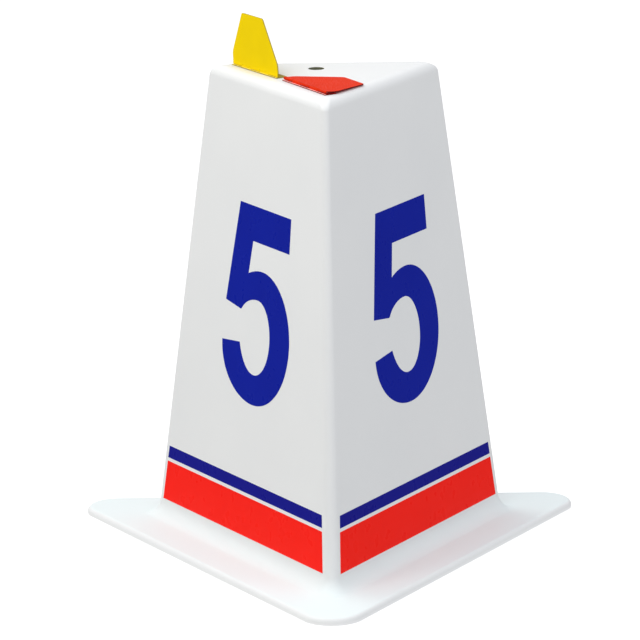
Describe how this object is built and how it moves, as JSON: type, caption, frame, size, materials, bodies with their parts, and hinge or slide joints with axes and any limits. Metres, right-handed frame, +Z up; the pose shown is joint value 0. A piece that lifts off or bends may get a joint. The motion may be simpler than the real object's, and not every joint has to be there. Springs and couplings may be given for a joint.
{
  "type": "track lane marker",
  "caption": "Hollow three-sided lane marker box for an athletics track, with a wide foot flange, numbered walls and two hinged signal flags on top.",
  "frame": {"origin": "on the ground, at the middle of the width and depth of the foot flange", "axes": "+Z up; one upright corner of the box points to -Y and the wall opposite it faces +Y"},
  "size_m": [0.6198, 0.5472, 0.6704],
  "materials": {
    "white_gelcoat": "glossy white gelcoat over glass-fibre laminate",
    "red_film": "smooth self-adhesive film",
    "blue_film": "smooth self-adhesive film",
    "yellow_plastic": "satin coloured plastic sheet",
    "red_plastic": "satin coloured plastic sheet",
    "stainless_steel": "plain stainless steel"
  },
  "bodies": {
    "box": {"body_shell": "white_gelcoat", "red_band_left": "red_film", "red_band_right": "red_film", "red_band_back": "red_film", "blue_band_left": "blue_film", "blue_band_right": "blue_film", "blue_band_back": "blue_film", "numeral_left": "blue_film", "numeral_right": "blue_film", "numeral_back": "blue_film", "yellow_hinge_leaf": "yellow_plastic", "yellow_hinge_pin": "stainless_steel", "yellow_rivet_1": "stainless_steel", "yellow_rivet_2": "stainless_steel", "yellow_rivet_3": "stainless_steel", "yellow_washer_1": "stainless_steel", "yellow_washer_2": "stainless_steel", "yellow_washer_3": "stainless_steel", "red_hinge_leaf": "red_plastic", "red_hinge_pin": "stainless_steel", "red_rivet_1": "stainless_steel", "red_rivet_2": "stainless_steel", "red_rivet_3": "stainless_steel", "red_washer_1": "stainless_steel", "red_washer_2": "stainless_steel", "red_washer_3": "stainless_steel"},
    "yellow_signal": {"yellow_flag": "yellow_plastic"},
    "red_signal": {"red_flag": "red_plastic"}
  },
  "joints": [
    {"name": "yellow_flag_hinge", "type": "hinge", "parent": "box", "child": "yellow_signal", "pos_m": [-0.08343, 0.1019, 0.60316], "axis": [0.5165, -0.8563, 0], "range_deg": [-95.6, 0]},
    {"name": "red_flag_hinge", "type": "hinge", "parent": "box", "child": "red_signal", "pos_m": [-0.02266, -0.00337, 0.60316], "axis": [0.4818, -0.8763, 0], "range_deg": [0, 95.6]}
  ]
}
